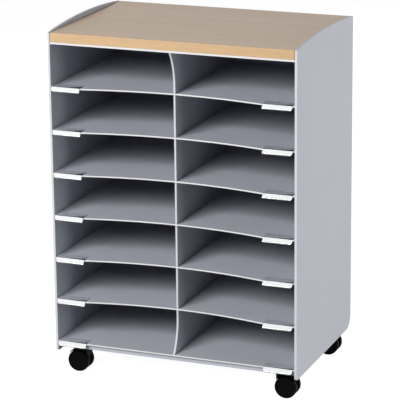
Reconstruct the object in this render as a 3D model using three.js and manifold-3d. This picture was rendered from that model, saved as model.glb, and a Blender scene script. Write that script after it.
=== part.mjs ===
// Pigeonhole mail sorter on twin-wheel castors: two columns of open trays between two sheet side
// panels, with a beech-faced board on top and a label holder on the front edge of every tray.
// Millimetres, +Z up, the open front faces -Y. The origin lies on the floor under the middle.
import * as THREE from 'three';
import { mergeVertices } from 'three/addons/utils/BufferGeometryUtils.js';
import Module from 'manifold-3d';

const wasm = await Module();
wasm.setup();

// Body
const bodyWidth = 520; // across the outer faces of the side panels
const bodyDepth = 346; // front edge to back edge of the side panels
const rowCount = 7; // pigeonholes in each of the two columns
const pigeonholeHeight = 85.4; // clear height of one pigeonhole
const bottomPigeonholeHeight = 87.6; // and of the lowest, a little taller one
const fit = 0.3; // clearance between a piece and the groove, slot or seat that holds it
const overcut = 1; // cutting shapes reach this far past the faces they open

// Side panels
const sideThickness = 5;
const sideSkirt = 8; // reach of the side panels below the base board
const crestRise = 9.5; // crown of the arched top edge above the top board
const frontFootRadius = 6; // lower front corner
const backFootRadius = 28; // lower back corner
const grooveDepth = 2; // grooves in the side panels that house the sheets
const grooveStop = 8; // the grooves stop this far behind the front edge, out of sight

// Sheets and boards
const shelfThickness = 3;
const shelfScoop = 22; // depth of the shallow arc in the front edge
const dividerThickness = 4;
const dividerFlareRadius = 120; // arc that brings the divider forward at its top and bottom
const dividerGroove = 1.5; // groove in the bottom shelf and top panel that holds the divider
const backThickness = 3;
const backInset = 3; // back panel ahead of the side panels' back edges
const topPanelThickness = 4;
const topBoardThickness = 19;
const topBoardEdge = 1.5; // eased upper front and back edges of the top board
const topBoardEndGap = 0.8; // between the top board's ends and the side panels
const baseBoardThickness = 11;
const baseSetback = 6.5; // base board behind the front edge of the bottom shelf

// Label holders, folded from one clear strip
const holderLength = 62;
const holderEndGap = 2.5; // to the side panel
const holderMargin = 1.5; // straight shelf edge past the holder, before the arc begins
const holderWall = 1.2;
const holderFlap = 20; // flap lying on the shelf, behind the shelf's front edge
const holderBrow = 2; // flap in front of the shelf's edge
const holderFaceDrop = 8.2; // height of the leaning label face
const holderFaceLean = 6.2; // how far the face's lower edge stands in front of its upper edge
const holderNose = 1.6; // blunt lower edge of the face, across and down alike
const holderTongueGap = 1.5; // from the grip under the shelf to the base board

// Castors
const castorHeadroom = 14; // top of the wheels to the underside of the base board
const castorInsetX = 45.5; // swivel axis from the outer face of the side panel
const castorInsetFront = 45.5; // swivel axis of the front castors from the front edge
const castorInsetBack = 34; // and of the rear castors from the back edge
const castorTrail = 11; // axle behind the swivel axis
const wheelDiameter = 46;
const wheelSides = 32;
const wheelWidth = 11;
const wheelRim = 4.5; // thickness of the hollow wheel's rim
const wheelDisc = 4; // thickness of its outer disc
const wheelHubRadius = 6;
const wheelShoulder = 1.4; // chamfer beside the tread
const wheelDish = 0.8; // shallow recess of the outer face
const wheelEndWall = 3; // between the blind bore and the outer face
const axleDiameter = 5;
const webThickness = 11; // hood web between the two wheels
const wheelGap = 0.5; // web to wheel
const coverWidth = 27; // hood cover over the wheels
const coverWall = 2;
const coverGap = 1; // cover to tread
const coverTail = 40; // degrees above the axle where the cover ends behind the wheels
const hoodBossRadius = 9; // hood round the kingpin
const hoodCorner = 4; // rounded upper corner ahead of the kingpin
const axleBossRadius = 8;
const webHeel = 234; // degrees round the axle where the web's lower edge reaches the axle boss
const webToe = 351; // and where it leaves it again
const webBack = 45; // degrees round the axle where the web's back edge meets the cover
const kingpinDiameter = 7;
const kingpinReach = 28; // below the plate
const kingpinChamfer = 1;
const collarRadius = 10;
const collarHeight = 1.5; // bearing collar between plate and hood
const plateSize = 38;
const plateThickness = 2.5;
const plateCorner = 5;
const plateHoleEdge = 5; // centre of a screw hole from the plate's edges
const plateHoleDiameter = 4.4;

// Facets of the round forms
const scoopSteps = 32;
const crestSteps = 32;
const flareSteps = 12;
const coverSteps = 16;
const footSteps = 8;
const cornerSteps = 4;
const pinSides = 20;
const screwHoleSides = 12;

// Heights and half widths that follow from these
const castorHeight = wheelDiameter + castorHeadroom;
const rowPitch = pigeonholeHeight + shelfThickness;
const sideBottom = castorHeight - sideSkirt;
const baseTop = castorHeight + baseBoardThickness;
const bottomExtra = bottomPigeonholeHeight - pigeonholeHeight;
const shelfUnderside = (row) => ( // row 0 is the bottom shelf
  baseTop + row * rowPitch + (row > 0 ? bottomExtra : 0)
);
const bottomShelfTop = baseTop + shelfThickness;
const topPanelUnderside = shelfUnderside(rowCount);
const boardBottom = topPanelUnderside + topPanelThickness;
const boardTop = boardBottom + topBoardThickness;
const halfWidth = bodyWidth / 2;
const innerHalf = halfWidth - sideThickness;
const buttedHalf = innerHalf - fit; // piece that butts against the side panels
const topBoardHalf = innerHalf - topBoardEndGap;
const housedHalf = innerHalf + grooveDepth - fit; // piece that sits in their grooves
const backFront = bodyDepth - backInset - backThickness;
const sheetBack = backFront - fit; // sheets stop at the back panel
const lapEnd = (shelfScoop + sheetBack) / 2; // where shelf and divider lap halfway

const greyPolystyrene = new THREE.MeshStandardMaterial({ color: 0xb9bbc1, roughness: 0.55 });
const beech = new THREE.MeshStandardMaterial({ color: 0xd8b68c, roughness: 0.5 });
const clearPlastic = new THREE.MeshStandardMaterial({
  color: 0xe9edef, roughness: 0.15, transparent: true, opacity: 0.45,
});
const blackNylon = new THREE.MeshStandardMaterial({ color: 0x17181a, roughness: 0.45 });
const blackSteel = new THREE.MeshStandardMaterial({ color: 0x1b1c1e, roughness: 0.5 });
const zincSteel = new THREE.MeshStandardMaterial({ color: 0xb4b8bd, roughness: 0.35, metalness: 1 });

const axisX = new THREE.Vector3(1, 0, 0);
const axisY = new THREE.Vector3(0, 1, 0);
const axisZ = new THREE.Vector3(0, 0, 1);
const sidewise = new THREE.Matrix4().makeBasis(axisY, axisZ, axisX); // outline in Y and Z, along X
const frontwise = new THREE.Matrix4().makeBasis(axisX, axisZ, axisY.clone().negate()); // X and Z

const sorter = new THREE.Group();

function addPiece(name, geometry, material, parent = sorter) {
  const mesh = new THREE.Mesh(geometry, material);
  mesh.name = name;
  parent.add(mesh);
  return mesh;
}

// Points of an arc about (cx, cy) from one angle to another, in radians, ends included.
function arc(cx, cy, radius, start, end, steps) {
  return Array.from({ length: steps + 1 }, (_, i) => {
    const angle = start + ((end - start) * i) / steps;
    return [cx + radius * Math.cos(angle), cy + radius * Math.sin(angle)];
  });
}

function circle(cx, cy, radius, sides) {
  return arc(cx, cy, radius, 0, 2 * Math.PI, sides).slice(0, -1);
}

// Points of the shallow arc from (left, level) to (right, level) that rises by rise at its middle.
function crown(left, right, level, rise, steps) {
  const half = (right - left) / 2;
  const radius = (half * half + rise * rise) / (2 * rise);
  const sweep = Math.asin(half / radius);
  const middle = (left + right) / 2;
  return arc(middle, level + rise - radius, radius, Math.PI / 2 + sweep, Math.PI / 2 - sweep, steps);
}

const toPoints = (list) => list.map(([x, y]) => new THREE.Vector2(x, y));

// Outline of a strip of even thickness along a bent centre line, mitred at the bends.
function stripOutline(line, thickness) {
  const points = toPoints(line);
  const normals = points.slice(1).map((point, i) => {
    const along = point.clone().sub(points[i]).normalize();
    return new THREE.Vector2(-along.y, along.x);
  });
  const offset = (side) => points.map((point, i) => {
    const before = normals[Math.max(i - 1, 0)];
    const after = normals[Math.min(i, normals.length - 1)];
    const reach = (side * thickness) / 2 / (1 + before.dot(after));
    return point.clone().addScaledVector(before, reach).addScaledVector(after, reach).toArray();
  });
  return [...offset(1), ...offset(-1).reverse()];
}

// Prism of an outline in X and Y that stands from height low to height high.
function prism(outline, low, high, holes = []) {
  const shape = new THREE.Shape(toPoints(outline));
  shape.holes = holes.map((hole) => new THREE.Path(toPoints(hole)));
  const geometry = new THREE.ExtrudeGeometry(shape, { depth: high - low, bevelEnabled: false });
  return geometry.translate(0, 0, low);
}

function block(low, high) {
  const size = high.map((value, i) => value - low[i]);
  const middle = high.map((value, i) => (value + low[i]) / 2);
  return new THREE.BoxGeometry(...size).translate(...middle);
}

// Closed solid of a geometry: shared corners merged, triangles without area dropped.
function toSolid(geometry) {
  geometry.deleteAttribute('normal');
  geometry.deleteAttribute('uv');
  const merged = mergeVertices(geometry);
  const corners = merged.index.array;
  const triVerts = [];
  for (let i = 0; i < corners.length; i += 3) {
    const [a, b, c] = corners.slice(i, i + 3);
    if (a !== b && b !== c && c !== a) triVerts.push(a, b, c);
  }
  const vertProperties = new Float32Array(merged.attributes.position.array);
  const mesh = new wasm.Mesh({ numProp: 3, vertProperties, triVerts: new Uint32Array(triVerts) });
  return new wasm.Manifold(mesh);
}

function toGeometry(solid) {
  const { vertProperties, triVerts } = solid.getMesh();
  const geometry = new THREE.BufferGeometry();
  geometry.setAttribute('position', new THREE.BufferAttribute(vertProperties, 3));
  geometry.setIndex(new THREE.BufferAttribute(triVerts, 1));
  geometry.computeVertexNormals();
  return geometry;
}

// Body of revolution about Y, from a profile that starts and ends on the axis.
function turned(profile, sides, startAngle = 0) {
  return toGeometry(toSolid(new THREE.LatheGeometry(toPoints(profile), sides, startAngle)));
}

function cut(geometry, tools) {
  const whole = toSolid(geometry);
  return toGeometry(tools.reduce((left, tool) => left.subtract(toSolid(tool)), whole));
}

// Side panel: upright front and back, arched top edge, rounded feet, and on its inner face the
// stopped grooves for every sheet and the upright groove for the back panel.
function sidePanel(side) {
  const quarter = Math.PI / 2;
  const outline = [
    ...arc(frontFootRadius, sideBottom + frontFootRadius, frontFootRadius, -2 * quarter, -quarter, footSteps),
    ...arc(bodyDepth - backFootRadius, sideBottom + backFootRadius, backFootRadius, -quarter, 0, footSteps),
    ...crown(0, bodyDepth, boardTop, crestRise, crestSteps).reverse(),
  ];
  const panel = prism(outline, 0, sideThickness).applyMatrix4(sidewise);
  panel.translate(side > 0 ? innerHalf : -halfWidth, 0, 0);

  const grooveFloor = side * (innerHalf + grooveDepth);
  const grooveMouth = side * (innerHalf - overcut);
  const left = Math.min(grooveFloor, grooveMouth);
  const right = Math.max(grooveFloor, grooveMouth);
  const backEnd = backFront + backThickness + fit;
  const sheets = Array.from({ length: rowCount + 1 }, (_, row) => ({
    low: shelfUnderside(row),
    thickness: row < rowCount ? shelfThickness : topPanelThickness,
  }));
  const grooves = sheets.map(({ low, thickness }) => (
    block([left, grooveStop, low - fit], [right, backEnd, low + thickness + fit])
  ));
  grooves.push(block([left, sheetBack, castorHeight - fit], [right, backEnd, boardBottom]));
  return cut(panel, grooves);
}

// Plan of a sheet housed in the side panels' grooves, with a straight or scooped front edge and,
// where it laps the divider, a slot in from the back.
function sheetOutline(scooped) {
  const arcHalf = innerHalf - holderEndGap - holderLength - holderMargin;
  const slotHalf = dividerThickness / 2 + fit;
  const shoulder = grooveStop + fit;
  const front = scooped ? crown(-arcHalf, arcHalf, 0, shelfScoop, scoopSteps) : [];
  const slot = [
    [slotHalf, sheetBack], [slotHalf, lapEnd], [-slotHalf, lapEnd], [-slotHalf, sheetBack],
  ];
  return [
    [-buttedHalf, 0], ...front, [buttedHalf, 0],
    [buttedHalf, shoulder], [housedHalf, shoulder], [housedHalf, sheetBack],
    ...(scooped ? slot : []),
    [-housedHalf, sheetBack], [-housedHalf, shoulder], [-buttedHalf, shoulder],
  ];
}

// Straight sheet with the stopped groove that takes the divider in its upper or lower face.
function endSheet(low, thickness, grooveFace) {
  const half = dividerThickness / 2 + fit;
  const grooveLow = grooveFace > 0 ? low + thickness - dividerGroove : low - overcut;
  const grooveHigh = grooveFace > 0 ? low + thickness + overcut : low + dividerGroove;
  const groove = block([-half, grooveStop, grooveLow], [half, sheetBack + overcut, grooveHigh]);
  return cut(prism(sheetOutline(false), low, low + thickness), [groove]);
}

// Divider: set back to the bottom of the shelves' scoop, flaring forward to the front plane at its
// top and bottom, with slots from the front where the shelves lap it.
function centreDivider() {
  const low = bottomShelfTop + fit;
  const high = topPanelUnderside - fit;
  const shoulder = grooveStop + fit;
  const flareCentre = shelfScoop - dividerFlareRadius;
  const flare = Math.acos((dividerFlareRadius - shelfScoop) / dividerFlareRadius);
  const flareHeight = dividerFlareRadius * Math.sin(flare);
  const outline = [
    ...arc(flareCentre, high - flareHeight, dividerFlareRadius, 0, flare, flareSteps),
    [shoulder, high], [shoulder, high + dividerGroove], [sheetBack, high + dividerGroove],
    [sheetBack, low - dividerGroove], [shoulder, low - dividerGroove], [shoulder, low],
    ...arc(flareCentre, low + flareHeight, dividerFlareRadius, -flare, 0, flareSteps),
  ];
  const sheet = prism(outline, -dividerThickness / 2, dividerThickness / 2).applyMatrix4(sidewise);
  const slots = [];
  for (let row = 1; row < rowCount; row += 1) {
    const slotLow = shelfUnderside(row) - fit;
    const slotHigh = shelfUnderside(row) + shelfThickness + fit;
    slots.push(block([-dividerThickness, 0, slotLow], [dividerThickness, lapEnd + fit, slotHigh]));
  }
  return cut(sheet, slots);
}

// Top board with its upper front and back edges eased, along X between the side panels.
function topBoard() {
  const edge = topBoardEdge;
  const outline = [
    [0, boardBottom], [bodyDepth, boardBottom],
    ...arc(bodyDepth - edge, boardTop - edge, edge, 0, Math.PI / 2, cornerSteps),
    ...arc(edge, boardTop - edge, edge, Math.PI / 2, Math.PI, cornerSteps),
  ];
  return prism(outline, -topBoardHalf, topBoardHalf).applyMatrix4(sidewise);
}

// Label holder about the upper front edge of a shelf: flap on the shelf, leaning label face in
// front of its edge, blunt nose and a short grip underneath.
function labelHolder() {
  const upper = fit + holderWall / 2;
  const lower = -(shelfThickness + fit + holderWall / 2);
  const noseY = -(holderBrow + holderFaceLean);
  const noseZ = upper - holderFaceDrop;
  const line = [
    [holderFlap, upper], [-holderBrow, upper], [noseY, noseZ],
    [noseY + holderNose, noseZ - holderNose], [-fit, lower], [baseSetback - holderTongueGap, lower],
  ];
  const strip = prism(stripOutline(line, holderWall), -holderLength / 2, holderLength / 2);
  return strip.applyMatrix4(sidewise);
}

// Castor in its own frame: swivel axis at the origin, floor at height 0, the axle trailing towards
// +X with its wheels on either side along Y.
const wheelRadius = wheelDiameter / 2;
const axleHeight = wheelRadius * Math.cos(Math.PI / wheelSides); // the wheels stand on a facet
const plateUnderside = castorHeight - plateThickness;
const hoodTop = plateUnderside - collarHeight - fit;
const wheelInside = webThickness / 2 + wheelGap;
const kingpinEnd = plateUnderside - kingpinReach;
const wheelBoreDepth = wheelWidth - wheelEndWall;

// Mounting plate with its screw holes and, round the kingpin's hole, the collar that the hood bears on.
function castorPlate() {
  const inner = plateSize / 2 - plateCorner;
  const reach = plateSize / 2 - plateHoleEdge;
  const quarter = Math.PI / 2;
  const signs = [[1, 1], [-1, 1], [-1, -1], [1, -1]];
  const outline = signs.flatMap(([x, y], i) => (
    arc(x * inner, y * inner, plateCorner, i * quarter, (i + 1) * quarter, cornerSteps)
  ));
  const screwHoles = signs.map(([x, y]) => (
    circle(x * reach, y * reach, plateHoleDiameter / 2, screwHoleSides)
  ));
  const plate = prism(outline, plateUnderside, castorHeight, screwHoles);
  const collarLow = plateUnderside - collarHeight;
  const collar = prism(circle(0, 0, collarRadius, pinSides), collarLow, castorHeight - plateThickness / 2);
  const pinHole = circle(0, 0, kingpinDiameter / 2 + fit, pinSides);
  const drill = prism(pinHole, collarLow - overcut, castorHeight + overcut);
  return toGeometry(toSolid(plate).add(toSolid(collar)).subtract(toSolid(drill)));
}

// Kingpin, flush with the plate's upper face and chamfered at its lower end.
function castorKingpin() {
  const radius = kingpinDiameter / 2;
  const profile = [
    [0, kingpinEnd], [radius - kingpinChamfer, kingpinEnd], [radius, kingpinEnd + kingpinChamfer],
    [radius, castorHeight], [0, castorHeight],
  ];
  return turned(profile, pinSides).rotateX(Math.PI / 2);
}

// Hood: a web between the wheels that carries the axle and the kingpin, joined to a cover that
// follows the tread from behind the wheels up to the block round the kingpin.
function castorHood() {
  const inner = wheelRadius + coverGap;
  const outer = inner + coverWall;
  const nose = -hoodBossRadius;
  const meetsNose = (radius) => Math.acos(Math.max((nose - castorTrail) / radius, -1));
  const { degToRad } = THREE.MathUtils;
  const tail = degToRad(coverTail);
  const brink = new THREE.Vector2(hoodBossRadius - castorTrail, hoodTop - axleHeight);
  const slope = brink.angle() - Math.acos(outer / brink.length()); // where the slope meets the cover
  const corner = arc(nose + hoodCorner, hoodTop - hoodCorner, hoodCorner, Math.PI, Math.PI / 2, cornerSteps);
  const coverOutline = [
    ...corner, [hoodBossRadius, hoodTop],
    ...arc(castorTrail, axleHeight, outer, slope, tail, coverSteps),
    ...arc(castorTrail, axleHeight, inner, tail, meetsNose(inner), coverSteps),
  ];
  const cover = prism(coverOutline, -coverWidth / 2, coverWidth / 2).applyMatrix4(frontwise);

  const sunk = inner + coverWall / 2; // the web ends inside the cover
  const webOutline = [
    ...arc(castorTrail, axleHeight, sunk, degToRad(webBack), meetsNose(sunk), coverSteps),
    [nose, axleHeight + axleBossRadius / 2],
    ...arc(castorTrail, axleHeight, axleBossRadius, degToRad(webHeel), degToRad(webToe), footSteps),
  ];
  const web = prism(webOutline, -webThickness / 2, webThickness / 2).applyMatrix4(frontwise);

  const pinHole = circle(0, 0, kingpinDiameter / 2 + fit, pinSides);
  const bore = prism(pinHole, kingpinEnd - fit, hoodTop + overcut);
  const axleHole = circle(castorTrail, axleHeight, axleDiameter / 2 + fit, pinSides);
  const axleDrill = prism(axleHole, -webThickness, webThickness).applyMatrix4(frontwise);
  const body = toSolid(cover).add(toSolid(web));
  return toGeometry(body.subtract(toSolid(bore)).subtract(toSolid(axleDrill)));
}

// Hollow wheel, turned about Y from its open inner side at 0 to its dished outer face.
function castorWheel() {
  const bore = axleDiameter / 2 + fit;
  const discInside = wheelWidth - wheelDisc;
  const rimInside = wheelRadius - wheelRim;
  const dishRadius = wheelRadius - wheelShoulder - 2 * wheelDish;
  const profile = [
    [0, wheelBoreDepth], [bore, wheelBoreDepth], [bore, 0], [wheelHubRadius, 0],
    [wheelHubRadius, discInside], [rimInside, discInside], [rimInside, 0],
    [wheelRadius - wheelShoulder / 2, 0], [wheelRadius, wheelShoulder / 2],
    [wheelRadius, wheelWidth - wheelShoulder], [wheelRadius - wheelShoulder, wheelWidth],
    [dishRadius, wheelWidth], [dishRadius - wheelDish, wheelWidth - wheelDish],
    [0, wheelWidth - wheelDish / 2],
  ];
  return turned(profile, wheelSides, Math.PI / wheelSides);
}

function castorAxle() {
  const length = 2 * (wheelInside + wheelBoreDepth - fit);
  return new THREE.CylinderGeometry(axleDiameter / 2, axleDiameter / 2, length, pinSides);
}

addPiece('left_side_panel', sidePanel(-1), greyPolystyrene);
addPiece('right_side_panel', sidePanel(1), greyPolystyrene);
addPiece('back_panel', block([-housedHalf, backFront, castorHeight],
  [housedHalf, backFront + backThickness, boardBottom - fit]), greyPolystyrene);
addPiece('base_board', block([-buttedHalf, baseSetback, castorHeight],
  [buttedHalf, sheetBack, baseTop]), greyPolystyrene);
addPiece('bottom_shelf', endSheet(baseTop, shelfThickness, 1), greyPolystyrene);
addPiece('top_panel', endSheet(topPanelUnderside, topPanelThickness, -1), greyPolystyrene);
addPiece('top_board', topBoard(), beech);
addPiece('centre_divider', centreDivider(), greyPolystyrene);

const shelf = prism(sheetOutline(true), 0, shelfThickness);
for (let row = 1; row < rowCount; row += 1) {
  addPiece(`shelf_${row}`, shelf, greyPolystyrene).position.z = shelfUnderside(row);
}

const holder = labelHolder();
const holderMiddle = innerHalf - holderEndGap - holderLength / 2;
for (let row = 0; row < rowCount; row += 1) {
  for (const [side, sign] of [['left', -1], ['right', 1]]) {
    const mesh = addPiece(`label_holder_${side}_${row + 1}`, holder, clearPlastic);
    mesh.position.set(sign * holderMiddle, 0, shelfUnderside(row) + shelfThickness);
  }
}

// The castors stand with their wheels turned outwards, so the left pair is turned half round.
const plate = castorPlate();
const kingpin = castorKingpin();
const hood = castorHood();
const axle = castorAxle();
const wheel = castorWheel();
for (const [end, y] of [['front', castorInsetFront], ['rear', bodyDepth - castorInsetBack]]) {
  for (const [side, sign] of [['left', -1], ['right', 1]]) {
    const castor = new THREE.Group();
    const name = `castor_${end}_${side}`;
    castor.position.set(sign * (halfWidth - castorInsetX), y, 0);
    castor.rotation.z = sign < 0 ? Math.PI : 0;
    addPiece(`${name}_plate`, plate, blackSteel, castor);
    addPiece(`${name}_kingpin`, kingpin, zincSteel, castor);
    addPiece(`${name}_hood`, hood, blackNylon, castor);
    addPiece(`${name}_axle`, axle, zincSteel, castor).position.set(castorTrail, 0, axleHeight);
    for (const [label, face] of [['front', -sign], ['rear', sign]]) {
      const mesh = addPiece(`${name}_${label}_wheel`, wheel, blackNylon, castor);
      mesh.position.set(castorTrail, face * wheelInside, axleHeight);
      mesh.rotation.z = face > 0 ? 0 : Math.PI;
    }
    sorter.add(castor);
  }
}

// The label holders stand in front of the body, so the middle lies a little ahead of its centre.
holder.computeBoundingBox();
sorter.position.y = -(bodyDepth + holder.boundingBox.min.y) / 2;

export default sorter;
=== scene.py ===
import math

import bmesh
import bpy
import numpy as np
from mathutils import Matrix, Vector


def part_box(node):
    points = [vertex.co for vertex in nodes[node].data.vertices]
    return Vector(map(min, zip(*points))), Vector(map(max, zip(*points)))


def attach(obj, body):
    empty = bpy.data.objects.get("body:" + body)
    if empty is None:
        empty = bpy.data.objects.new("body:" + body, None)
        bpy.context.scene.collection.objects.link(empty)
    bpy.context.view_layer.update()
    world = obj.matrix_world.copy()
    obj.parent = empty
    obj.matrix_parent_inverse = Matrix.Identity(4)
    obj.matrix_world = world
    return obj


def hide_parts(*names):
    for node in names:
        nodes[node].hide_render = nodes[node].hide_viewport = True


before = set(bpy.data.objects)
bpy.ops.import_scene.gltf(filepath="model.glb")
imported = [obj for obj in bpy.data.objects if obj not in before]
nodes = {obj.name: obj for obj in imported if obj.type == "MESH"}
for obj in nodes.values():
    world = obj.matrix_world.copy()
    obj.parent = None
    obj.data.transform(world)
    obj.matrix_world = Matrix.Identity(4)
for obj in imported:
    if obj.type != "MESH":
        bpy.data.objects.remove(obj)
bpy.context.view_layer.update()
mm = 0.001  # every size below is in millimetres, every mesh in metres
print("frame loaded:", len(nodes), "nodes")


def toLinear(hexColour):
    # sRGB hex to the linear colour that shaders take
    parts = [int(hexColour[i:i + 2], 16) / 255 for i in (1, 3, 5)]
    return [p / 12.92 if p <= 0.04045 else ((p + 0.055) / 1.055) ** 2.4 for p in parts] + [1.0]


def addNode(tree, kind, settings, inputs):
    # one node: settings are its own properties, inputs are fixed values or sockets to link from
    node = tree.nodes.new(kind)
    for key, value in settings.items():
        setattr(node, key, value)
    for key, value in inputs.items():
        if isinstance(value, bpy.types.NodeSocket):
            tree.links.new(value, node.inputs[key])
        else:
            node.inputs[key].default_value = value
    return node


def newMaterial(name):
    material = bpy.data.materials.new(name)
    material.use_nodes = True
    tree = material.node_tree
    return material, tree, tree.nodes["Principled BSDF"]


def linkAll(tree, shader, sockets):
    for key, socket in sockets.items():
        tree.links.new(socket, shader.inputs[key])


def perMetre(millimetres):
    # texture scale that gives features of that size
    return 1 / (millimetres * mm)


cameraFacts = {
    "azimuth": 21.653, "elevation": 16.176, "roll": -0.622,  # degrees
    "target": (0.0, 1.497, 382.0),
    "distance": 4440.8,
    "aside": 6.68, "down": -29.843,  # target from the middle of the picture, measured at the target
    "focalPixels": 2183.66, "picturePixels": 400, "sensor": 36.0,
    "nearest": 100.0, "farthest": 100000.0,
}


def makeCamera(facts):
    # on a sphere round the target, rolled about the line of sight, then shifted in the picture plane
    az, el, roll = (math.radians(facts[key]) for key in ("azimuth", "elevation", "roll"))
    back = Vector((math.sin(az) * math.cos(el), -math.cos(az) * math.cos(el), math.sin(el)))
    level = (-back).cross(Vector((0, 0, 1))).normalized()
    upright = level.cross(-back)
    right = level * math.cos(roll) + upright * math.sin(roll)
    up = upright * math.cos(roll) - level * math.sin(roll)
    middle = Vector(facts["target"]) - right * facts["aside"] + up * facts["down"]
    place = middle + back * facts["distance"]
    data = bpy.data.cameras.new("photoCamera")
    data.sensor_width = facts["sensor"]
    data.lens = facts["sensor"] * facts["focalPixels"] / facts["picturePixels"]
    data.clip_start, data.clip_end = facts["nearest"] * mm, facts["farthest"] * mm
    camera = bpy.data.objects.new("photoCamera", data)
    bpy.context.scene.collection.objects.link(camera)
    rows = np.column_stack([right, up, back, place * mm])
    camera.matrix_world = Matrix([*rows.tolist(), [0, 0, 0, 1]])
    bpy.context.scene.camera = camera


makeCamera(cameraFacts)
bpy.context.scene.view_settings.view_transform = "Standard"
print("camera set")

studio = {
    "ambient": 0.02, "ambientColour": "#DDE6FA", "white": "#FFFFFF",
    "floorColour": "#8C8D8F", "floorGlow": 0.95, "floorHalf": 12000.0,
    "lamps": [
        # name, place, aim, width, height, watts
        ("frontSoftbox", (-1100, -3550, 2420), (0, 0, 400), 2200, 1500, 222),
        ("sideSoftbox", (3000, 300, 700), (0, 0, 380), 2500, 1300, 69),
        ("backSoftbox", (-2300, 2500, 360), (0, 0, 360), 2800, 640, 50),
    ],
    "glintNear": 0.98,  # place of the glint lamp, as a share of the front softbox's
}


def shownRays(tree):
    # 1 for the rays that see the studio directly, by reflection or through clear plastic
    path = addNode(tree, "ShaderNodeLightPath", {}, {}).outputs
    seen = addNode(tree, "ShaderNodeMath", {"operation": "MAXIMUM"},
                   {0: path["Is Camera Ray"], 1: path["Is Glossy Ray"]}).outputs[0]
    return addNode(tree, "ShaderNodeMath", {"operation": "MAXIMUM"},
                   {0: seen, 1: path["Is Transmission Ray"]}).outputs[0]


def addLamp(name, place, aim, width, height, watts):
    data = bpy.data.lights.new(name, "AREA")
    data.shape = "RECTANGLE"
    data.size, data.size_y, data.energy = width * mm, height * mm, watts
    lamp = bpy.data.objects.new(name, data)
    bpy.context.scene.collection.objects.link(lamp)
    lamp.location = Vector(place) * mm
    lamp.rotation_euler = (Vector(aim) - Vector(place)).to_track_quat("-Z", "Y").to_euler()
    lamp.visible_camera = False
    return lamp


def makeStudio(facts):
    world = bpy.data.worlds.new("studioWorld")
    bpy.context.scene.world = world
    world.use_nodes = True
    tree = world.node_tree
    tree.nodes.clear()
    white = toLinear(facts["white"])
    ambient = addNode(tree, "ShaderNodeBackground", {},
                      {"Color": toLinear(facts["ambientColour"]), "Strength": facts["ambient"]})
    backdrop = addNode(tree, "ShaderNodeBackground", {}, {"Color": white, "Strength": 1.0})
    mixed = addNode(tree, "ShaderNodeMixShader", {},
                    {0: shownRays(tree), 1: ambient.outputs[0], 2: backdrop.outputs[0]})
    addNode(tree, "ShaderNodeOutputWorld", {}, {"Surface": mixed.outputs[0]})

    # pale floor: a diffuse sheet that takes the shadow, with a glow that only shows it near white
    half = facts["floorHalf"] * mm
    mesh = bpy.data.meshes.new("floor")
    corners = [(-half, -half, 0), (half, -half, 0), (half, half, 0), (-half, half, 0)]
    mesh.from_pydata(corners, [], [(0, 1, 2, 3)])
    floor = bpy.data.objects.new("floor", mesh)
    bpy.context.scene.collection.objects.link(floor)
    material, tree, shader = newMaterial("paleStudioFloor")
    tree.nodes.remove(shader)
    glow = addNode(tree, "ShaderNodeMath", {"operation": "MULTIPLY"},
                   {0: shownRays(tree), 1: facts["floorGlow"]}).outputs[0]
    matt = addNode(tree, "ShaderNodeBsdfDiffuse", {}, {"Color": toLinear(facts["floorColour"])})
    light = addNode(tree, "ShaderNodeEmission", {}, {"Color": white, "Strength": glow})
    both = addNode(tree, "ShaderNodeAddShader", {}, {0: matt.outputs[0], 1: light.outputs[0]})
    tree.links.new(both.outputs[0], tree.nodes["Material Output"].inputs["Surface"])
    mesh.materials.append(material)

    # broad light without glare: a satin face shows the white studio, not the lamps themselves
    for lampFacts in facts["lamps"]:
        addLamp(*lampFacts).visible_glossy = False


makeStudio(studio)
print("studio set")

polystyrene = {
    # the panel and shelf front-face colours are painted light: paler colours on the faces turned to the
    # front, standing for the front lamps
    "colour": "#B4B6BE", "shade": "#ADAFB8", "panelFrontLight": "#C8C9CE", "shelfFrontLight": "#D6D6D6",
    "cloud": 90.0, "cloudDetail": 3.0,
    "grain": 2.4, "grainDetail": 2.0,  # coarser than the real grain, so that it shows
    "frontLightStarts": -0.6, "frontLightFull": -0.85,  # the normal's Y where the painted front light starts and where it is full
    "smoothest": 0.40, "roughest": 0.52, "bump": 0.12, "bumpDepth": 0.2, "ior": 1.5,
}


def greyPolystyrene(name, facts, paintedFrontLight):
    # extruded sheet with a fine matt grain: a soft even grey, faintly clouded, with a satin sheen; the
    # faces turned to the front, the cut edges, are painted paler, a painted highlight that stands for the
    # light of the front lamps
    material, tree, shader = newMaterial(name)
    where = addNode(tree, "ShaderNodeTexCoord", {}, {}).outputs
    place = where["Object"]
    cloud = addNode(tree, "ShaderNodeTexNoise", {},
                    {"Vector": place, "Scale": perMetre(facts["cloud"]),
                     "Detail": facts["cloudDetail"]}).outputs[0]
    colour = addNode(tree, "ShaderNodeMix", {"data_type": "RGBA"},
                     {0: cloud, 6: toLinear(facts["shade"]), 7: toLinear(facts["colour"])}).outputs[2]
    # painted light: faces turned to the front are mixed towards the paler colour, standing for the front
    # lamps
    if paintedFrontLight:
        facing = addNode(tree, "ShaderNodeSeparateXYZ", {}, {0: where["Normal"]}).outputs["Y"]
        frontLightShare = addNode(tree, "ShaderNodeMapRange", {},
                        {0: facing, 1: facts["frontLightStarts"], 2: facts["frontLightFull"]}).outputs[0]
        colour = addNode(tree, "ShaderNodeMix", {"data_type": "RGBA"},
                         {0: frontLightShare, 6: colour, 7: toLinear(paintedFrontLight)}).outputs[2]
    grain = addNode(tree, "ShaderNodeTexNoise", {},
                    {"Vector": place, "Scale": perMetre(facts["grain"]),
                     "Detail": facts["grainDetail"]}).outputs[0]
    rough = addNode(tree, "ShaderNodeMapRange", {},
                    {0: grain, 3: facts["smoothest"], 4: facts["roughest"]}).outputs[0]
    bump = addNode(tree, "ShaderNodeBump", {},
                   {"Strength": facts["bump"], "Distance": facts["bumpDepth"] * mm,
                    "Height": grain}).outputs[0]
    linkAll(tree, shader, {"Base Color": colour, "Roughness": rough, "Normal": bump})
    shader.inputs["IOR"].default_value = facts["ior"]
    return material


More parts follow.
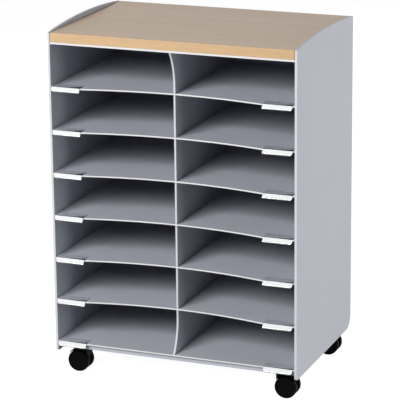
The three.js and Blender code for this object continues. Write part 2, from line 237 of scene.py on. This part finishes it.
beech = {
    "pale": "#BEA58B", "dark": "#B1977D", "fleck": "#9C8169", "bandPale": "#C8A982", "bandDark": "#BB9A73",
    "alongShare": 0.035, "figure": 22.0, "figureDetail": 4.0, "figureWave": 0.6,
    # fibre and flecks are coarser than the real ones, so that they show
    "fibre": 4.0, "fibreDetail": 3.0, "fibreWeight": 0.5,
    "toneLow": 0.45, "toneHigh": 1.05,
    "fleckAlong": 0.16, "fleckSize": 2.4, "fleckDetail": 1.0,
    "fleckStarts": 0.60, "fleckFull": 0.72, "fleckDepth": 0.35,
    "faceStarts": 0.55, "faceFull": 0.85,  # the normal's Z towards the upper face
    "smoothest": 0.31, "roughest": 0.44, "bump": 0.1, "bumpDepth": 0.2, "ior": 1.5,
}


def beechBoard(facts):
    # beech-faced board, lacquered: long pale figure, fine fibre and short dark flecks along the board;
    # the edge band is a little warmer than the face
    material, tree, shader = newMaterial("lacquered_beech_board")
    where = addNode(tree, "ShaderNodeTexCoord", {}, {}).outputs
    place = where["Object"]
    along = addNode(tree, "ShaderNodeMapping", {},
                    {"Vector": place, "Scale": (facts["alongShare"], 1, 1)}).outputs[0]
    figure = addNode(tree, "ShaderNodeTexNoise", {},
                     {"Vector": along, "Scale": perMetre(facts["figure"]), "Detail": facts["figureDetail"],
                      "Distortion": facts["figureWave"]}).outputs[0]
    fibre = addNode(tree, "ShaderNodeTexNoise", {},
                    {"Vector": along, "Scale": perMetre(facts["fibre"]),
                     "Detail": facts["fibreDetail"]}).outputs[0]
    short = addNode(tree, "ShaderNodeMapping", {},
                    {"Vector": place, "Scale": (facts["fleckAlong"], 1, 1)}).outputs[0]
    fleck = addNode(tree, "ShaderNodeTexNoise", {},
                    {"Vector": short, "Scale": perMetre(facts["fleckSize"]),
                     "Detail": facts["fleckDetail"]}).outputs[0]
    fleck = addNode(tree, "ShaderNodeMapRange", {},
                    {0: fleck, 1: facts["fleckStarts"], 2: facts["fleckFull"],
                     3: 0.0, 4: facts["fleckDepth"]}).outputs[0]
    tone = addNode(tree, "ShaderNodeMath", {"operation": "MULTIPLY_ADD"},
                   {0: fibre, 1: facts["fibreWeight"], 2: figure}).outputs[0]
    tone = addNode(tree, "ShaderNodeMapRange", {},
                   {0: tone, 1: facts["toneLow"], 2: facts["toneHigh"]}).outputs[0]
    face = addNode(tree, "ShaderNodeMix", {"data_type": "RGBA"},
                   {0: tone, 6: toLinear(facts["dark"]), 7: toLinear(facts["pale"])}).outputs[2]
    band = addNode(tree, "ShaderNodeMix", {"data_type": "RGBA"},
                   {0: tone, 6: toLinear(facts["bandDark"]), 7: toLinear(facts["bandPale"])}).outputs[2]
    upward = addNode(tree, "ShaderNodeSeparateXYZ", {}, {0: where["Normal"]}).outputs["Z"]
    isFace = addNode(tree, "ShaderNodeMapRange", {},
                     {0: upward, 1: facts["faceStarts"], 2: facts["faceFull"]}).outputs[0]
    colour = addNode(tree, "ShaderNodeMix", {"data_type": "RGBA"}, {0: isFace, 6: band, 7: face}).outputs[2]
    colour = addNode(tree, "ShaderNodeMix", {"data_type": "RGBA"},
                     {0: fleck, 6: colour, 7: toLinear(facts["fleck"])}).outputs[2]
    rough = addNode(tree, "ShaderNodeMapRange", {},
                    {0: fibre, 3: facts["smoothest"], 4: facts["roughest"]}).outputs[0]
    bump = addNode(tree, "ShaderNodeBump", {},
                   {"Strength": facts["bump"], "Distance": facts["bumpDepth"] * mm,
                    "Height": fibre}).outputs[0]
    linkAll(tree, shader, {"Base Color": colour, "Roughness": rough, "Normal": bump})
    shader.inputs["IOR"].default_value = facts["ior"]
    return material


nylon = {
    "colour": "#070708", "shade": "#040405",
    "grain": 1.6, "grainDetail": 2.0,  # coarser than the real grain, so that it shows
    "smoothest": 0.44, "roughest": 0.60, "bump": 0.15, "bumpDepth": 0.2, "ior": 1.53, "specular": 0.035,
}


def blackNylon(facts):
    # moulded nylon: near black, fine spark-eroded grain, a soft sheen on the rounded edges
    material, tree, shader = newMaterial("black_moulded_nylon")
    place = addNode(tree, "ShaderNodeTexCoord", {}, {}).outputs["Object"]
    grain = addNode(tree, "ShaderNodeTexNoise", {},
                    {"Vector": place, "Scale": perMetre(facts["grain"]),
                     "Detail": facts["grainDetail"]}).outputs[0]
    colour = addNode(tree, "ShaderNodeMix", {"data_type": "RGBA"},
                     {0: grain, 6: toLinear(facts["shade"]), 7: toLinear(facts["colour"])}).outputs[2]
    rough = addNode(tree, "ShaderNodeMapRange", {},
                    {0: grain, 3: facts["smoothest"], 4: facts["roughest"]}).outputs[0]
    bump = addNode(tree, "ShaderNodeBump", {},
                   {"Strength": facts["bump"], "Distance": facts["bumpDepth"] * mm,
                    "Height": grain}).outputs[0]
    linkAll(tree, shader, {"Base Color": colour, "Roughness": rough, "Normal": bump})
    shader.inputs["IOR"].default_value = facts["ior"]
    shader.inputs["Specular IOR Level"].default_value = facts["specular"]
    return material


paint = {
    "colour": "#0B0B0C", "shade": "#070708", "orangePeel": 1.8, "peelDetail": 1.0,
    "roughness": 0.5, "bump": 0.12, "bumpDepth": 0.1, "specular": 0.2,
}


def blackPaintedSteel(facts):
    # pressed steel plate under black paint: near black, with the faint orange peel of a sprayed coat
    material, tree, shader = newMaterial("black_painted_steel")
    place = addNode(tree, "ShaderNodeTexCoord", {}, {}).outputs["Object"]
    peel = addNode(tree, "ShaderNodeTexNoise", {},
                   {"Vector": place, "Scale": perMetre(facts["orangePeel"]),
                    "Detail": facts["peelDetail"]}).outputs[0]
    colour = addNode(tree, "ShaderNodeMix", {"data_type": "RGBA"},
                     {0: peel, 6: toLinear(facts["shade"]), 7: toLinear(facts["colour"])}).outputs[2]
    bump = addNode(tree, "ShaderNodeBump", {},
                   {"Strength": facts["bump"], "Distance": facts["bumpDepth"] * mm,
                    "Height": peel}).outputs[0]
    linkAll(tree, shader, {"Base Color": colour, "Normal": bump})
    shader.inputs["Roughness"].default_value = facts["roughness"]
    shader.inputs["Specular IOR Level"].default_value = facts["specular"]
    return material


zinc = {
    "colour": "#C3C7CC", "shade": "#A9AEB6", "mottle": 4.0, "mottleDetail": 3.0,
    "smoothest": 0.24, "roughest": 0.44,
}


def zincSteel(facts):
    # bright zinc plate on turned steel: cool grey metal, faintly mottled, slightly blurred reflections
    material, tree, shader = newMaterial("zinc_plated_steel")
    place = addNode(tree, "ShaderNodeTexCoord", {}, {}).outputs["Object"]
    mottle = addNode(tree, "ShaderNodeTexNoise", {},
                     {"Vector": place, "Scale": perMetre(facts["mottle"]),
                      "Detail": facts["mottleDetail"]}).outputs[0]
    colour = addNode(tree, "ShaderNodeMix", {"data_type": "RGBA"},
                     {0: mottle, 6: toLinear(facts["shade"]), 7: toLinear(facts["colour"])}).outputs[2]
    rough = addNode(tree, "ShaderNodeMapRange", {},
                    {0: mottle, 3: facts["smoothest"], 4: facts["roughest"]}).outputs[0]
    linkAll(tree, shader, {"Base Color": colour, "Roughness": rough})
    shader.inputs["Metallic"].default_value = 1.0
    return material


clear = {
    "colour": "#F4F6F8", "dieLine": 1.6, "dieDetail": 2.0, "dieAlong": 0.03,
    "bump": 0.06, "bumpDepth": 0.1, "ior": 1.49,
}


def clearPlastic(facts):
    # extruded clear strip: see-through with glossy faces, whose faint die lines along the strip make the
    # reflections waver
    material, tree, shader = newMaterial("clear_extruded_plastic")
    place = addNode(tree, "ShaderNodeTexCoord", {}, {}).outputs["Object"]
    along = addNode(tree, "ShaderNodeMapping", {},
                    {"Vector": place, "Scale": (facts["dieAlong"], 1, 1)}).outputs[0]
    lines = addNode(tree, "ShaderNodeTexNoise", {},
                    {"Vector": along, "Scale": perMetre(facts["dieLine"]),
                     "Detail": facts["dieDetail"]}).outputs[0]
    bump = addNode(tree, "ShaderNodeBump", {},
                   {"Strength": facts["bump"], "Distance": facts["bumpDepth"] * mm,
                    "Height": lines}).outputs[0]
    linkAll(tree, shader, {"Normal": bump})
    shader.inputs["Base Color"].default_value = toLinear(facts["colour"])
    shader.inputs["Roughness"].default_value = 0.0
    shader.inputs["Transmission Weight"].default_value = 1.0
    shader.inputs["IOR"].default_value = facts["ior"]
    return material


card = {
    "colour": "#E4E4E2", "shade": "#DEDEDC", "roughness": 0.85, "bump": 0.1, "bumpDepth": 0.1,
    "fibre": 1.5, "fibreDetail": 3.0,  # coarser than the real fibre, so that it shows
}


def whiteCard(facts):
    # uncoated white card: matt, with a barely visible paper fibre
    material, tree, shader = newMaterial("white_card_stock")
    place = addNode(tree, "ShaderNodeTexCoord", {}, {}).outputs["Object"]
    fibre = addNode(tree, "ShaderNodeTexNoise", {},
                    {"Vector": place, "Scale": perMetre(facts["fibre"]),
                     "Detail": facts["fibreDetail"]}).outputs[0]
    colour = addNode(tree, "ShaderNodeMix", {"data_type": "RGBA"},
                     {0: fibre, 6: toLinear(facts["shade"]), 7: toLinear(facts["colour"])}).outputs[2]
    bump = addNode(tree, "ShaderNodeBump", {},
                   {"Strength": facts["bump"], "Distance": facts["bumpDepth"] * mm,
                    "Height": fibre}).outputs[0]
    linkAll(tree, shader, {"Base Color": colour, "Normal": bump})
    shader.inputs["Roughness"].default_value = facts["roughness"]
    return material


greySheet = greyPolystyrene("grey_polystyrene_sheet", polystyrene, None)
# panels and shelves carry the painted front light on their front faces; the back panel and the base board
# do not
greyPanel = greyPolystyrene("grey_polystyrene_panel", polystyrene, polystyrene["panelFrontLight"])
greyShelf = greyPolystyrene("grey_polystyrene_shelf", polystyrene, polystyrene["shelfFrontLight"])
beechTop = beechBoard(beech)
blackPart = blackNylon(nylon)
paintedPlate = blackPaintedSteel(paint)
steelPart = zincSteel(zinc)
clearStrip = clearPlastic(clear)
labelCard = whiteCard(card)
print("materials made")

# every solid takes the finish of its own kind
finishOf = {"top_board": beechTop, "label_holder": clearStrip, "plate": paintedPlate,
            "kingpin": steelPart, "axle": steelPart, "hood": blackPart, "wheel": blackPart,
            "back_panel": greySheet, "base_board": greySheet, "side_panel": greyPanel,
            "divider": greyPanel, "shelf": greyShelf, "top_panel": greyShelf}
for name, solid in nodes.items():
    finish = next(value for key, value in finishOf.items() if key in name)
    solid.data.materials.clear()
    solid.data.materials.append(finish)

softEdge = {
    "weld": 0.001, "flat": 0.2, "angle": 40.0,  # flat and angle in degrees
    "width": 0.45, "steps": 2,
    "kinds": ("panel", "shelf", "divider", "board", "hood", "plate"),
}


def softenEdges(solid, facts):
    # arrises as the saw and the mould leave them: triangles joined to whole faces, then a small round
    weld = solid.modifiers.new("weld", "WELD")
    weld.merge_threshold = facts["weld"] * mm
    flat = solid.modifiers.new("wholeFaces", "DECIMATE")
    flat.decimate_type = "DISSOLVE"
    flat.angle_limit = math.radians(facts["flat"])
    bevel = solid.modifiers.new("softEdge", "BEVEL")
    bevel.limit_method = "ANGLE"
    bevel.angle_limit = math.radians(facts["angle"])
    bevel.width = facts["width"] * mm
    bevel.segments = facts["steps"]


for name, solid in nodes.items():
    if any(kind in name for kind in softEdge["kinds"]):
        softenEdges(solid, softEdge)
print("solids finished")

surface = {"merge": 0.001, "sharp": 32.0}  # points this near are one, edges past these degrees stay sharp


def gridPiece(name, points, finish, body, stands=()):
    # piece from a grid of points in millimetres, rows by columns: a quad between neighbours, the last
    # column joined to the first; rows that shrink to a point or a line are merged, so it is closed
    rows, columns = points.shape[:2]
    index = np.arange(rows * columns).reshape(rows, columns)
    after = np.roll(index, -1, axis=1)
    quads = np.stack([index[:-1], after[:-1], after[1:], index[1:]], axis=-1).reshape(-1, 4)
    mesh = bpy.data.meshes.new(name)
    mesh.from_pydata((points.reshape(-1, 3) * mm).tolist(), [], quads.tolist())
    work = bmesh.new()
    work.from_mesh(mesh)
    bmesh.ops.remove_doubles(work, verts=work.verts, dist=surface["merge"] * mm)
    bmesh.ops.recalc_face_normals(work, faces=work.faces)
    work.to_mesh(mesh)
    work.free()
    mesh.polygons.foreach_set("use_smooth", np.ones(len(mesh.polygons), dtype=bool))
    mesh.set_sharp_from_angle(angle=math.radians(surface["sharp"]))
    mesh.materials.append(finish)
    piece = bpy.data.objects.new(name, mesh)
    bpy.context.scene.collection.objects.link(piece)
    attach(piece, body)
    if stands:
        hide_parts(*stands)
    return piece


def roundedLine(corners, radius, steps=6, mostOfLeg=0.45):
    # centre line through the corners in the Y-Z plane, each inner corner eased by a quadratic curve
    # (1-t)^2 start + 2t(1-t) corner + t^2 end, which starts and ends a radius away from it
    corners = np.asarray(corners, float)
    before = corners[:-2] - corners[1:-1]
    after = corners[2:] - corners[1:-1]
    lengths = [np.linalg.norm(leg, axis=1, keepdims=True) for leg in (before, after)]
    reach = [np.minimum(radius, mostOfLeg * length) / length for length in lengths]
    starts = corners[1:-1] + before * reach[0]
    ends = corners[1:-1] + after * reach[1]
    t = np.linspace(0, 1, steps)[None, :, None]
    bends = ((1 - t) ** 2 * starts[:, None] + 2 * t * (1 - t) * corners[1:-1, None]
             + t ** 2 * ends[:, None])
    return np.vstack([corners[:1], bends.reshape(-1, 2), corners[-1:]])


def repeatEnds(values, count):
    # first and last entries repeated, for the rows that round a strip's two edges
    first, last = np.repeat(values[:1], count, 0), np.repeat(values[-1:], count, 0)
    return np.concatenate([first, values[1:-1], last])


def bentStrip(line, thickness, leftEnd, rightEnd, roundSteps=5):
    # strip carried along a line in the Y-Z plane: at each point a flat section with half-round ends,
    # from leftEnd to rightEnd in X and half a thickness to both sides along the line's normal; the first
    # and last rows shrink to a line, which rounds the strip's own two edges
    along = np.gradient(line, axis=0)
    along /= np.linalg.norm(along, axis=1, keepdims=True)
    half = thickness / 2
    turn = np.linspace(0, math.pi / 2, roundSteps)
    startRows = line[0] - along[0] * half * np.sin(turn[::-1, None])
    endRows = line[-1] + along[-1] * half * np.sin(turn[:, None])
    centre = np.vstack([startRows, line[1:-1], endRows])
    normal = repeatEnds(np.column_stack([-along[:, 1], along[:, 0]]), roundSteps)
    leftX, rightX = (repeatEnds(end, roundSteps)[:, None] for end in (leftEnd, rightEnd))
    rowHalf = np.full((len(centre), 1), half)
    rowHalf[:roundSteps, 0] = half * np.cos(turn[::-1])
    rowHalf[-roundSteps:, 0] = half * np.cos(turn)
    side = np.linspace(-math.pi / 2, math.pi / 2, 2 * roundSteps - 1)
    across = np.concatenate([np.cos(side), -np.cos(side)])  # half rounds at the right and left ends
    lift = np.concatenate([np.sin(side), np.sin(side[::-1])])
    isRight = np.arange(len(across)) < len(side)
    x = np.where(isRight, rightX - rowHalf, leftX + rowHalf) + rowHalf * across
    yz = centre[:, None] + rowHalf[..., None] * lift[None, :, None] * normal[:, None]
    return np.concatenate([x[..., None], yz], axis=2)


rowCount = 7
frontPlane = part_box("left_side_panel")[0][1] / mm  # front edge of the side panels
clearStrips = bpy.data.collections.new("clearStrips")

holder = {
    "wall": 1.2, "bend": 1.6, "flap": 20.0, "seat": 0.9,  # seat: middle of the flap above the shelf
    # middle of the wall: behind the shelf's front edge, above its top
    "faceTop": (-2.0, 0.9), "faceFoot": (-8.2, -7.3), "nose": (-6.6, -8.9), "grip": (-0.3, -3.9),
    "gripEnd": 5.0,
    "cornerRound": 3.2,  # lower outer corner of the face
}
label = {
    "thickness": 0.3, "behind": 0.85, "endGap": 0.7,  # behind: from the middle of the holder's face
    "fromTop": 0.9, "toTop": 9.6, "stations": 5,
}


def cornerCut(height):
    # quarter round at the face's lower outer corner: how far the end draws back at a height over the
    # shelf, radius (1 - sqrt(1 - down^2))
    down = np.clip((holder["faceFoot"][1] - height) / holder["cornerRound"] + 1, 0, 1)
    return holder["cornerRound"] * (1 - np.sqrt(1 - down ** 2))


def makeHolder(side, row):
    # clear strip folded round the shelf's front edge, with the face's lower outer corner rounded off
    node = f"label_holder_{side}_{row}"
    low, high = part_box(node)
    leftX, rightX = low[0] / mm, high[0] / mm
    shelfFront = np.array([0, frontPlane, high[2] / mm - holder["seat"] - holder["wall"] / 2])
    corners = [(holder["flap"], holder["seat"]), holder["faceTop"], holder["faceFoot"], holder["nose"],
               holder["grip"], (holder["gripEnd"], holder["grip"][1])]
    line = roundedLine(corners, holder["bend"])
    under = np.arange(len(line)) > np.argmin(line[:, 1])
    cut = np.where(under, holder["cornerRound"], cornerCut(line[:, 1]))
    leftCut, rightCut = (1, 0) if side == "left" else (0, 1)
    points = bentStrip(line, holder["wall"], leftX + leftCut * cut, rightX - rightCut * cut)
    strip = gridPiece(f"clear_label_holder_{side}_{row}", points + shelfFront, clearStrip, "cabinet",
                      [node])
    # thin clear plastic lets the light through to the card and the shelf
    strip.visible_shadow = strip.visible_diffuse = False
    clearStrips.objects.link(strip)

    # blank card behind the leaning face
    top = np.array(holder["faceTop"])
    face = np.array(holder["faceFoot"]) - top
    face = face / np.linalg.norm(face)
    inward = np.array([-face[1], face[0]])
    stations = np.linspace(label["fromTop"], label["toTop"], label["stations"])[:, None]
    cardLine = top + face * stations + inward * label["behind"]
    cut = cornerCut(cardLine[:, 1])
    points = bentStrip(cardLine, label["thickness"], leftX + label["endGap"] + leftCut * cut,
                       rightX - label["endGap"] - rightCut * cut)
    gridPiece(f"blank_label_card_{side}_{row}", points + shelfFront, labelCard, "cabinet")


for side in ("left", "right"):
    for row in range(1, rowCount + 1):
        makeHolder(side, row)

# the front softbox once more, for its glint in the clear strips alone: a little nearer, where the
# first one doesn't cover it
glint = addLamp("stripGlint", *studio["lamps"][0][1:])
glint.location *= studio["glintNear"]
glint.visible_diffuse = False
glint.light_linking.receiver_collection = clearStrips
print("label holders made")


def lathe(profile, centre, direction, sides):
    # profile of (radius, distance along the axis) turned about an axis parallel to Y through centre:
    # x and z are the radius times cosine and sine of the turn, y runs along direction
    turn = np.linspace(0, 2 * math.pi, sides, endpoint=False)
    radius, reach = profile[:, :1], profile[:, 1:]
    x = centre[0] + radius * np.cos(turn)
    z = centre[2] + radius * np.sin(turn)
    y = centre[1] + direction * reach + 0 * turn
    return np.stack([x, y, z], axis=-1)


def arcPoints(centre, radius, start, end, steps):
    # points of a circular arc: the centre plus the radius times cosine and sine of the angle, in degrees
    angle = np.radians(np.linspace(start, end, steps))
    return np.column_stack([centre[0] + radius * np.cos(angle), centre[1] + radius * np.sin(angle)])


castorWheel = {
    "sides": 96, "shoulder": 3.4, "shoulderSteps": 9, "innerRound": 0.9, "innerSteps": 5, "rimInside": 18.5,
    "disc": 4.0, "hub": 6.0, "bore": 2.8, "endWall": 3.0,
    "lipRadius": 18.6, "lipRun": 0.3, "lipFall": 0.12, "step": 0.9, "stepRun": 0.8,  # rim ring
    "dome": 0.7, "domeSteps": 8,
    "cap": 4.2, "capRise": 0.35, "capRun": 0.5, "capFall": 0.1, "capFlat": 1.2,  # button over the axle
}


def makeWheel(node, facts):
    # hollow moulded wheel: rounded tread, raised rim ring, a step down to the shallow domed disc, whose
    # height over the step is dome times the growth of 1 - ((r - cap) / edge)^2 from the edge inward
    low, high = (np.array(corner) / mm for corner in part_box(node))
    radius = (high[2] - low[2]) / 2
    width = high[1] - low[1]
    outward = -1 if "front_wheel" in node else 1
    centre = [(low[0] + high[0]) / 2, high[1] if outward < 0 else low[1], (low[2] + high[2]) / 2]
    boreEnd, discInside = width - facts["endWall"], width - facts["disc"]
    edge, cap = facts["lipRadius"] - facts["stepRun"], facts["cap"]
    domeRadius = np.linspace(edge, cap, facts["domeSteps"])
    crown = 1 - ((domeRadius - cap) / edge) ** 2
    dome = np.column_stack([domeRadius, width - facts["step"] + facts["dome"] * (crown - crown[0])])
    capTop = dome[-1, 1] + facts["capRise"]
    profile = np.vstack([
        [(0, boreEnd), (facts["bore"], boreEnd), (facts["bore"], 0), (facts["hub"], 0),
         (facts["hub"], discInside), (facts["rimInside"], discInside), (facts["rimInside"], 0)],
        arcPoints((radius - facts["innerRound"], facts["innerRound"]), facts["innerRound"], -90, 0,
                  facts["innerSteps"]),
        arcPoints((radius - facts["shoulder"], width - facts["shoulder"]), facts["shoulder"], 0, 90,
                  facts["shoulderSteps"]),
        [(facts["lipRadius"] + facts["lipRun"], width), (facts["lipRadius"], width - facts["lipFall"])],
        dome,
        [(cap - facts["capRun"], capTop - facts["capFall"]), (cap - facts["capFlat"], capTop), (0, capTop)],
    ])
    points = lathe(profile, centre, outward, facts["sides"])
    gridPiece(f"moulded_{node}", points, blackPart, node, [node])


plateScrew = {
    "radius": 3.4, "rise": 1.3, "edge": 0.5, "sides": 28,
    "shoulder": (2.89, 1.066), "crown": 2.04,  # radius and height of the shoulder, radius of the flat crown
    "recess": 1.5, "recessFloor": 0.6, "recessDepth": 0.7,
    "inset": 5.0, "plateThickness": 2.5,
}


def makeScrews(castor, facts):
    # low pan-head screws under the mounting plate: a crowned head with a countersunk recess, turned
    # about the upright axis through each of the plate's holes
    low, high = (np.array(corner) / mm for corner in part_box(f"{castor}_plate"))
    under = high[2] - facts["plateThickness"]
    radius, rise, floor = facts["radius"], facts["rise"], facts["rise"] - facts["recessDepth"]
    profile = np.array([(0, 0), (radius, 0), (radius, facts["edge"]), facts["shoulder"],
                        (facts["crown"], rise), (facts["recess"], rise), (facts["recessFloor"], floor),
                        (0, floor)])
    turn = np.linspace(0, 2 * math.pi, facts["sides"], endpoint=False)
    left, right = low[0] + facts["inset"], high[0] - facts["inset"]
    near, far = low[1] + facts["inset"], high[1] - facts["inset"]
    for i, (x, y) in enumerate([(left, near), (right, near), (right, far), (left, far)]):
        points = np.stack([x + profile[:, :1] * np.cos(turn), y + profile[:, :1] * np.sin(turn),
                           under - profile[:, 1:] + 0 * turn], axis=-1)
        gridPiece(f"{castor}_plate_screw_{i + 1}", points, paintedPlate, "cabinet")


for end in ("front", "rear"):
    for side in ("left", "right"):
        castor = f"castor_{end}_{side}"
        for wheel in ("front_wheel", "rear_wheel"):
            makeWheel(f"{castor}_{wheel}", castorWheel)
        makeScrews(castor, plateScrew)
print("castor pieces made")
